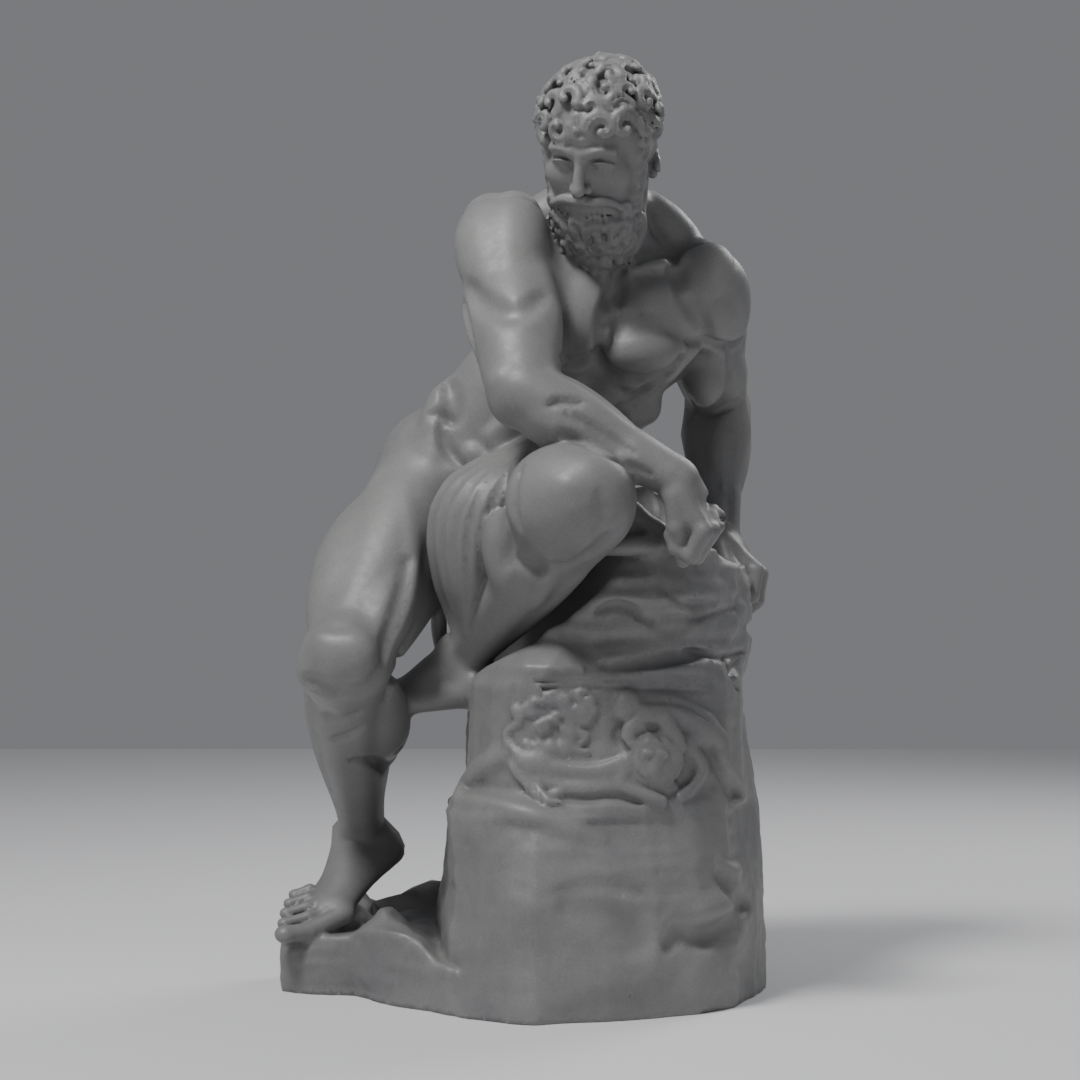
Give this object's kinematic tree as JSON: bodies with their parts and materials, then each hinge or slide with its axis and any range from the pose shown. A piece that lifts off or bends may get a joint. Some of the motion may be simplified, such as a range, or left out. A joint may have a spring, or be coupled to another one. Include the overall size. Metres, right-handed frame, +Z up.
{
  "type": "stone statue",
  "caption": "Life-size carved stone statue of a bearded, muscular man seated on a rock with draped cloth and a low relief on its front face.",
  "frame": {"origin": "middle of the underside's box, on the floor", "axes": "+Z up; -Y is the front, the way the rock's relief faces; +X to the right as seen from the front"},
  "size_m": [0.8072, 0.75, 1.4872],
  "materials": {
    "stone": "honed, satin"
  },
  "bodies": {
    "root": {"statue": "stone"}
  },
  "joints": []
}
